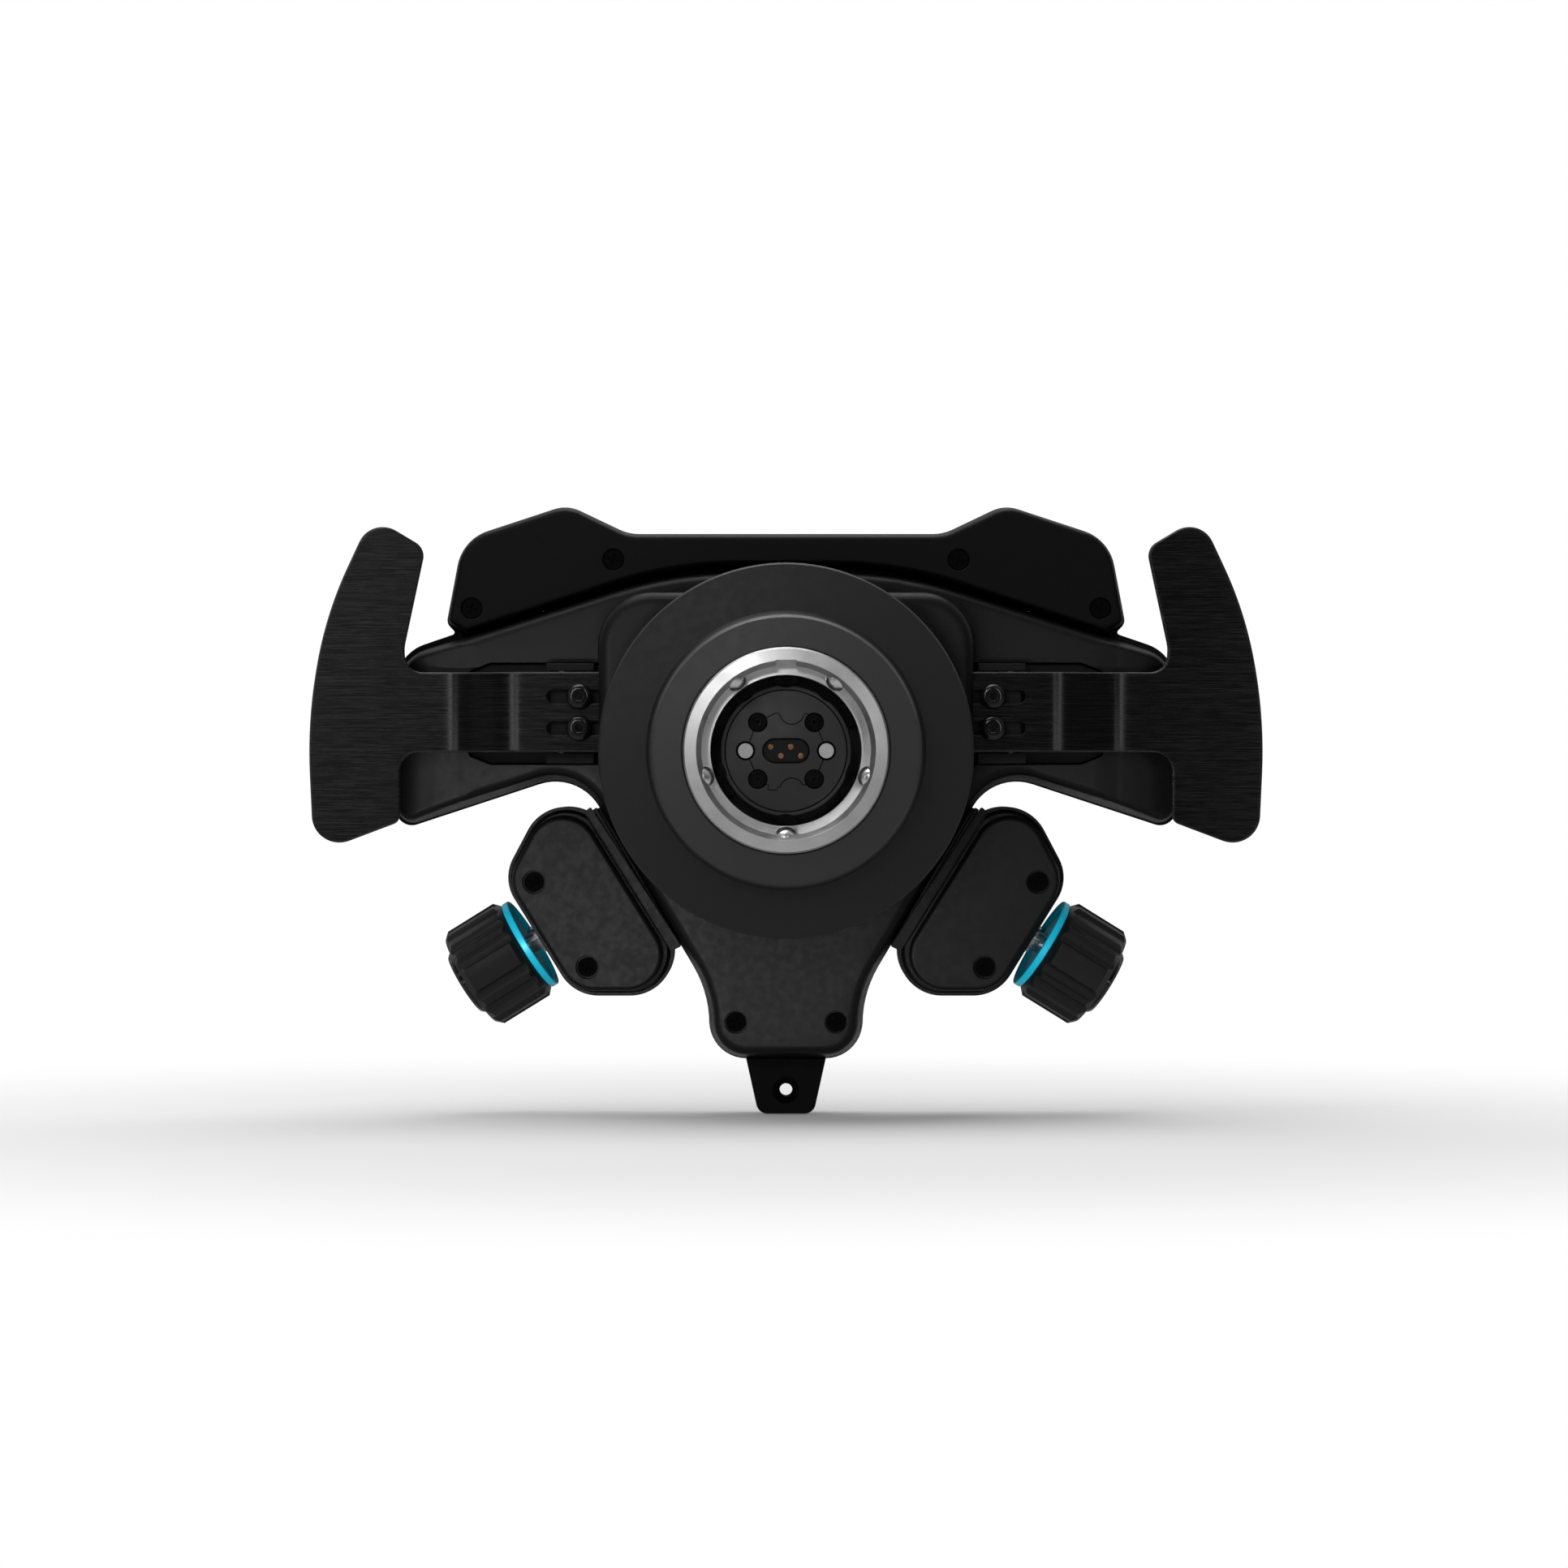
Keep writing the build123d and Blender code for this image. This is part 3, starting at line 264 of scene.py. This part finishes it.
def brushed(name, base, rough, metallic, aniso, radius, edge):
    """Sheet aluminium brushed along X, dyed black, with bright edges that are partly wear and
    partly a painted edge highlight.
    """
    net = Graph(name)
    soft = net.soft_normal(radius)
    edge_wear_and_highlight = net.edge_mask(soft, across=(0.015, 0.12))
    x, _, z = net.split()
    # the plate's outline gets the bright edges, partly wear and partly a painted edge
    # highlight; the two screw slots inside it don't
    from_middle = net.math("ABSOLUTE", net.math("SUBTRACT", z, PADDLE_MIDDLE_Z))
    outside = net.math("MAXIMUM", net.ramp(net.math("ABSOLUTE", x), across=PADDLE_OUTER_X),
                       net.ramp(from_middle, across=PADDLE_OUTER_Z))
    edge_wear_and_highlight = net.times(edge_wear_and_highlight, outside)
    flat = net.combine(X=x, Z=z)
    long = net.noise(scale=1.0, detail=4, rough=0.62, coord=flat,
                     stretch=(45, 1, 2600), loc=(0.3, 0.1, 0.7))
    short = net.noise(scale=1.0, rough=0.6, coord=flat,
                      stretch=(160, 1, 5200), loc=(5.3, 2.1, 0.2))
    broad = net.noise(scale=1.0, detail=2, coord=flat,
                      stretch=(14, 1, 420), loc=(8.3, 2.1, 4.2))
    large = net.noise(scale=16, detail=2)
    streak = net.math("ADD", net.times(long, factor=0.55), net.times(short, factor=0.45))
    col = net.mix(net.ramp(streak, across=(0.36, 0.64)),
                  shade(base, gain=0.62), shade(base, gain=1.45))
    bands = net.ramp(broad, across=(0.35, 0.7), to=(0.0, 0.4))
    col = net.mix(bands, col, shade(base, gain=1.25))
    clouds = net.ramp(large, across=(0.3, 0.7), to=(0.0, 0.25))
    col = net.mix(clouds, col, shade(base, gain=0.7))
    # bright edges: partly wear, partly a painted edge highlight
    col = net.mix(net.times(edge_wear_and_highlight, factor=0.8), col, capped(base, gain=edge))
    gloss = net.ramp(streak, across=(0.35, 0.65), to=(rough - 0.07, rough + 0.08))
    normal = net.bent(soft, lean=0.38, made=PADDLE_MADE, shown=PADDLE_SHOWN)
    normal = net.bump(streak, strength=0.5, distance=0.00002, normal=normal)
    # highlights spread across the brush lines, along Z
    extra = {"Metallic": metallic, "Anisotropic": aniso, "Tangent": net.combine(Z=1.0)}
    return net.surface(col, gloss, normal, extra)


def steel(name, base, rough, turned=False, radius=0.0003, aniso=0.0, marks=0.25, dish=0.0):
    """Bare metal; marks is the strength of its fine surface relief."""
    net = Graph(name)
    soft = net.soft_normal(radius)
    fine = net.noise(scale=3800, rough=0.6)
    mid = net.noise(scale=160, detail=4, rough=0.6, loc=(2, 5, 1))
    height = fine
    if turned:
        lines = net.noise(scale=5200, detail=2, coord=net.turned()[1])
        height = net.math("ADD", lines, net.times(fine, factor=0.7))
    col = net.mix(net.ramp(mid, across=(0.3, 0.7)),
                  shade(base, gain=0.93), capped(base, gain=1.05))
    specks = net.ramp(height, across=(0.4, 1.1), to=(0.0, 0.12))
    col = net.mix(specks, col, shade(base, gain=0.7))
    gloss = net.ramp(mid, across=(0.3, 0.7), to=(rough - 0.03, rough + 0.06))
    normal = net.bump(height, strength=marks, distance=0.000012, normal=net.dished(soft, dish))
    return net.surface(col, gloss, normal, {"Metallic": 1.0, **net.radial_sheen(aniso)})


def circuit(name, base, tracks):
    """Green board with paler raised tracks."""
    net = Graph(name)
    soft = net.soft_normal(radius=0.0001)
    cells = net.add("ShaderNodeTexVoronoi", feature="DISTANCE_TO_EDGE",
                    inputs={"Vector": net.coord, "Scale": 420})
    line = net.ramp(cells.outputs["Distance"], across=(0.02, 0.06), to=(1.0, 0.0))
    col = net.mix(net.times(line, factor=0.6), base, tracks)
    gloss = net.ramp(net.noise(scale=500), across=(0.3, 0.7), to=(0.22, 0.36))
    normal = net.bump(line, strength=0.3, distance=0.00002, normal=soft)
    return net.surface(col, gloss, normal, {})


# material slot: maker, base colour, settings
LOOKS = {
    "housing_plastic": (plastic, grey(0.004), dict(rough=0.42, edge=9.0, spec=0.12, tips=True)),
    "ear_plastic": (plastic, grey(0.004), dict(rough=0.42, edge=5.0, spec=0.16)),
    "inner_plastic": (plastic, grey(0.010), dict(rough=0.5, edge=3.0, spec=0.3)),
    "anodised_black": (anodised, grey(0.032), dict(
        rough=0.42, metallic=0.6, turned=True, aniso=0.25, dish=0.10, edge=1.1, radius=0.0002)),
    "hub_alloy": (steel, (0.56, 0.57, 0.58), dict(rough=0.34, turned=True, aniso=0.5)),
    "ring_steel": (steel, (0.80, 0.80, 0.80), dict(
        rough=0.30, turned=True, aniso=0.3, marks=0.3, dish=0.16, radius=0.00015)),
    "polished_steel": (steel, (0.85, 0.85, 0.86), dict(rough=0.22, radius=0.0001, marks=0.08)),
    "spring_steel": (steel, (0.42, 0.42, 0.43), dict(rough=0.25)),
    "black_screws": (anodised, grey(0.035), dict(
        rough=0.13, metallic=0.85, edge=4.0, radius=0.0002)),
    "gold_contacts": (steel, (0.75, 0.42, 0.22), dict(rough=0.25, radius=0.0001)),
    "cable_rubber": (plastic, grey(0.012), dict(rough=0.6)),
    "circuit_board": (circuit, (0.01, 0.06, 0.035), dict(tracks=(0.03, 0.16, 0.08))),
    "smoked_lens": (plastic, grey(0.010), dict(rough=0.12, bump=0.04, edge=1.5)),
    "paddle_brushed": (brushed, grey(0.017), dict(
        rough=0.25, metallic=0.85, aniso=0.75, radius=0.0006, edge=26.0)),
    "knob_black": (plastic, grey(0.011), dict(
        rough=0.36, grain=3400, edge=4.0, radius=0.0005, spec=0.4)),
    "knob_cap_gloss": (plastic, grey(0.008), dict(rough=0.12, bump=0.05, edge=1.6)),
    "ring_blue": (anodised, (0.0, 0.56, 0.80), dict(
        rough=0.34, metallic=0.1, edge=1.5, radius=0.0002)),
    "bezel_metal": (anodised, grey(0.02), dict(rough=0.32, metallic=0.6, edge=3.0)),
    "button_plastic": (plastic, grey(0.03), dict(rough=0.38, edge=1.8)),
}
MATERIALS = {name: make(name, base, **settings)
             for name, (make, base, settings) in LOOKS.items()}


# ------------------------------------------------------------------ CAD pieces
def tidy(ob, angle=28.0):
    """Joins the mesh's doubled corners, then keeps real edges crisp and curved faces smooth."""
    weld = ob.modifiers.new("weld", "WELD")
    weld.merge_threshold = 2e-6
    edges = ob.modifiers.new("edges", "EDGE_SPLIT")
    edges.split_angle = math.radians(angle)
    edges.use_edge_sharp = False
    normals = ob.modifiers.new("flats_first", "WEIGHTED_NORMAL")
    normals.weight = 100
    normals.keep_sharp = True


for sub in frame["record"]["subparts"]:
    ob = NODES[sub["node"]]
    ob.data.materials.clear()
    ob.data.materials.append(MATERIALS[sub["material_slot"]])
    ob.data.polygons.foreach_set("use_smooth", [True] * len(ob.data.polygons))

for ob in NODES.values():
    tidy(ob)

# two pieces look different from the rest of their slot
# the cover screws are painted near-black, a painted shade for the dark wells they sit in, with
# painted highlights on their rims
NODES["cover_screws"].data.materials[0] = plastic(
    "shade_painted_screws", grey(0.0012), rough=0.4, spec=0.07, edge=30.0, radius=0.0001)
# the steel dowels are painted near-white and almost non-metallic, a painted reflection standing
# in for their polished shine
NODES["insert_dowels"].data.materials[0] = anodised(
    "dowel_painted_shine", (0.92, 0.92, 0.92), rough=0.3, metallic=0.05, vary=0.03, edge=1.0)

# ------------------------------------------------------------------ connector insert seams (mm)
SEAM = plastic("seam_shadow", grey(0.0015), rough=0.8, spec=0.05, bump=0.1)
FACE = 12.5                                   # y of the insert's face
SEAM_FRONT = FACE - 0.03
SEAM_BACK = FACE + 0.06


def seam(name, points, width=0.26, closed=False):
    """A hair-line joint: a thin strip standing in the insert's face along (x, z) points."""
    count = len(points)
    verts, faces = [], []
    for i, (x, z) in enumerate(points):
        before = points[(i - 1) % count] if closed or i else points[i]
        after = points[(i + 1) % count] if closed or i < count - 1 else points[i]
        dx, dz = after[0] - before[0], after[1] - before[1]
        length = math.hypot(dx, dz)
        side_x, side_z = -dz / length * width / 2, dx / length * width / 2
        for sign, y in ((1, SEAM_FRONT), (-1, SEAM_FRONT), (-1, SEAM_BACK), (1, SEAM_BACK)):
            verts.append(((x + sign * side_x) * MM, y * MM, (z + sign * side_z) * MM))
    for i in range(count if closed else count - 1):
        here, there = 4 * i, 4 * ((i + 1) % count)
        for k in range(4):
            m = (k + 1) % 4
            faces.append((here + k, there + k, there + m, here + m))
    if not closed:
        end = 4 * count
        faces += [(3, 2, 1, 0), (end - 4, end - 3, end - 2, end - 1)]
    mesh = bpy.data.meshes.new(name)
    mesh.from_pydata(verts, [], faces)
    mesh.materials.append(SEAM)
    ob = bpy.data.objects.new(name, mesh)
    bpy.context.scene.collection.objects.link(ob)
    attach(ob, "hub")


def arc(x, z, radius, start, end, steps=18):
    """Points on a circle about (x, z), between two angles in degrees."""
    angles = [math.radians(start + (end - start) * i / steps) for i in range(steps + 1)]
    return [(x + radius * math.cos(a), z + radius * math.sin(a)) for a in angles]


# open seams: name, (x, z) points
OPEN_SEAMS = (
    ("seam_top", [(-5.97, 9.45), (-3.54, 10.7), (-2.3, 11.0),
                  *arc(1.73, 11.24, radius=3.55, start=197, end=343),
                  (5.63, 10.92), (6.9, 10.2)]),
    ("seam_bottom", [(-6.18, -9.85), (-5.12, -9.85), (-5.12, -11.43), (-2.59, -11.43),
                     (-2.49, -10.6), (-1.9, -10.6),
                     *arc(1.73, -11.43, radius=3.5, start=163, end=24), (5.84, -9.85)]),
    ("seam_left_up", [(-9.45, 5.76), (-10.7, 2.28)]),
    ("seam_left_low", [(-10.6, -2.47), (-9.03, -6.0)]),
    ("seam_right_up", [(9.45, 5.9), (10.9, 2.4)]),
    ("seam_right_low", [(10.9, -2.47), (9.4, -6.0)]),
)
for name, points in OPEN_SEAMS:
    seam(name, points)
seam("seam_round", arc(0, 0, radius=17.68, start=0, end=357.5, steps=143),
     width=0.34, closed=True)

# rings round the holes: x, z, radius, line width
SIDE_RING = (2.55, 0.5)
CORNER_RING = (2.68, 0.34)
HOLES = [(x, 0, *SIDE_RING) for x in (-11.75, 11.75)]
HOLES += [(x, z, *CORNER_RING) for z in (8.25, -8.25) for x in (-8.2, 8.2)]
HOLES.sort(key=lambda hole: hole[2])          # side holes first
for i, (x, z, radius, width) in enumerate(HOLES):
    seam(f"seam_hole_{i}", arc(x, z, radius, start=0, end=355, steps=71), width, closed=True)


# ------------------------------------------------------------------ floor
def floor_material():
    """Pale floor fading to white for the camera, and a dimmer floor for all other rays."""
    net = Graph("floor_pale")

    def emission(strength):
        return net.add("ShaderNodeEmission", {"Strength": strength})

    def add_shaders(first, second):
        return net.add("ShaderNodeAddShader", {0: first.outputs[0], 1: second.outputs[0]})

    def mix_shaders(fac, first, second):
        return net.add("ShaderNodeMixShader",
                       {"Fac": fac, 1: first.outputs[0], 2: second.outputs[0]})

    color = net.mix(net.noise(scale=4, detail=2), (0.66, 0.66, 0.66), (0.70, 0.70, 0.70))
    pale = net.add("ShaderNodeBsdfDiffuse", {"Color": color})
    dim = net.add("ShaderNodeBsdfDiffuse", {"Color": (0.26, 0.26, 0.26, 1)})
    near = add_shaders(pale, emission(strength=0.12))
    away = net.vector("LENGTH", net.coord, output="Value")
    seen = mix_shaders(net.ramp(away, across=(0.14, 0.42)), near, emission(strength=1.0))
    # the lit patch of floor close to the object lights its lower parts
    pool = emission(strength=net.ramp(away, across=(0.10, 0.55), to=(0.16, 0.0)))
    under = add_shaders(dim, pool)
    camera_ray = net.add("ShaderNodeLightPath").outputs["Is Camera Ray"]
    net.put(net.out.inputs["Surface"], mix_shaders(camera_ray, under, seen).outputs[0])
    return net.material


def make_floor(size=60.0, gap=0.0002):
    material = floor_material()
    mesh = bpy.data.meshes.new("floor")
    half = size / 2
    corners = [(-half, -half, 0), (half, -half, 0), (half, half, 0), (-half, half, 0)]
    mesh.from_pydata(corners, [], [(0, 1, 2, 3)])
    ob = bpy.data.objects.new("floor", mesh)
    ob.location = (0, 0, CAD_BOX[0].z - gap)
    bpy.context.scene.collection.objects.link(ob)
    mesh.materials.append(material)


make_floor()


# ------------------------------------------------------------------ lights
def softbox(name, place, aim, size, watts, receivers):
    """A rectangular light; with receivers it reaches just those pieces."""
    lamp = bpy.data.lights.new(name, "AREA")
    lamp.shape = "RECTANGLE"
    lamp.size, lamp.size_y = size
    lamp.energy = watts
    ob = bpy.data.objects.new(name, lamp)
    ob.location = place
    ob.rotation_euler = (Vector(aim) - Vector(place)).to_track_quat("-Z", "Y").to_euler()
    bpy.context.scene.collection.objects.link(ob)
    if receivers:
        group = bpy.data.collections.new("lit_by_" + name)
        for piece in receivers:
            group.objects.link(NODES[piece])
        ob.light_linking.receiver_collection = group


PADDLES = [n for n in NODES if n.startswith(("shift_paddle", "paddle_screws"))]
LOW = [n for n in NODES if n.startswith(("rear_cover", "pod_", "knob_ring"))]
COVER = ["rear_cover"]

# name, place, aim, (width, height), watts, the only pieces lit (None: all)
LIGHTS = (
    ("top", (-0.10, 0.12, 0.95), (0, 0.05, 0), (1.3, 0.7), 8, None),
    ("front_top", (-0.60, -1.10, 0.62), (0, 0, 0), (0.6, 0.36), 0.5, None),
    ("front_left", (-1.25, -0.80, 0.20), (0, 0, 0), (0.35, 0.7), 0.5, None),
    ("strip_left", (-0.50, -1.45, 0.45), (-0.05, 0, 0), (0.05, 1.1), 0.8, None),
    ("strip_right", (0.50, -1.45, 0.45), (0.05, 0, 0), (0.05, 1.1), 0.75, None),
    ("top_strip", (-0.26, -1.30, 0.42), (0, 0, 0), (0.42, 0.14), 1.0, None),
    ("paddle_strip_left", (-0.52, -1.45, 0.10), (-0.05, 0, 0), (0.20, 1.3), 3.4, PADDLES),
    ("paddle_strip_right", (0.52, -1.45, 0.10), (0.05, 0, 0), (0.20, 1.3), 2.7, PADDLES),
    ("tip_left", (-0.78, -1.25, 0.05), (-0.1, 0, 0), (0.3, 0.9), 2.4, COVER),
    ("tip_right", (0.78, -1.25, 0.05), (0.1, 0, 0), (0.3, 0.9), 1.9, COVER),
    ("low_fill", (-0.16, -0.50, -0.095), (-0.02, 0, -0.09), (0.4, 0.02), 1.7, LOW),
    ("rim_left", (-0.9, 0.45, 0.25), (0, 0.03, 0), (0.3, 0.9), 1.6, None),
    ("rim_right", (0.9, 0.45, 0.25), (0, 0.03, 0), (0.3, 0.9), 1.6, None),
)
for light in LIGHTS:
    softbox(*light)


# ------------------------------------------------------------------ world
def make_world():
    """White to the camera; to other rays brighter upwards and towards +Y."""
    world = bpy.data.worlds.new("studio")
    bpy.context.scene.world = world
    world.use_nodes = True
    nodes, link = world.node_tree.nodes, world.node_tree.links.new
    nodes.clear()
    out = nodes.new("ShaderNodeOutputWorld")
    seen = nodes.new("ShaderNodeBackground")
    seen.inputs["Color"].default_value = (1, 1, 1, 1)
    lit = nodes.new("ShaderNodeBackground")
    for background in (seen, lit):
        background.inputs["Strength"].default_value = 1.0
    coord = nodes.new("ShaderNodeTexCoord")
    axes = nodes.new("ShaderNodeSeparateXYZ")
    link(coord.outputs["Generated"], axes.inputs[0])

    def ramp(axis, across, to):
        node = nodes.new("ShaderNodeMapRange")
        for key, value in zip(("From Min", "From Max", "To Min", "To Max"), across + to):
            node.inputs[key].default_value = value
        link(axes.outputs[axis], node.inputs["Value"])
        return node.outputs["Result"]

    upward = ramp("Z", across=(-0.1, 1.0), to=(0.04, 0.75))
    behind = ramp("Y", across=(-1.0, 0.4), to=(0.08, 1.0))
    product = nodes.new("ShaderNodeMath")
    product.operation = "MULTIPLY"
    link(upward, product.inputs[0])
    link(behind, product.inputs[1])
    link(product.outputs[0], lit.inputs["Color"])
    path = nodes.new("ShaderNodeLightPath")
    pick = nodes.new("ShaderNodeMixShader")
    link(path.outputs["Is Camera Ray"], pick.inputs["Fac"])
    link(lit.outputs[0], pick.inputs[1])
    link(seen.outputs[0], pick.inputs[2])
    link(pick.outputs[0], out.inputs["Surface"])


make_world()


# ------------------------------------------------------------------ camera
def make_camera():
    lens = bpy.data.cameras.new("camera")
    lens.sensor_fit = "HORIZONTAL"
    lens.sensor_width = 36.0
    lens.lens = 120.2
    lens.clip_end = 200.0
    camera = bpy.data.objects.new("camera", lens)
    camera.location = (-0.58 * MM, -1508 * MM, -9.65 * MM)
    camera.rotation_euler = (math.radians(90), 0, 0)     # level, looking along +Y
    bpy.context.scene.collection.objects.link(camera)
    bpy.context.scene.camera = camera
    bpy.context.scene.view_settings.view_transform = "Standard"


make_camera()
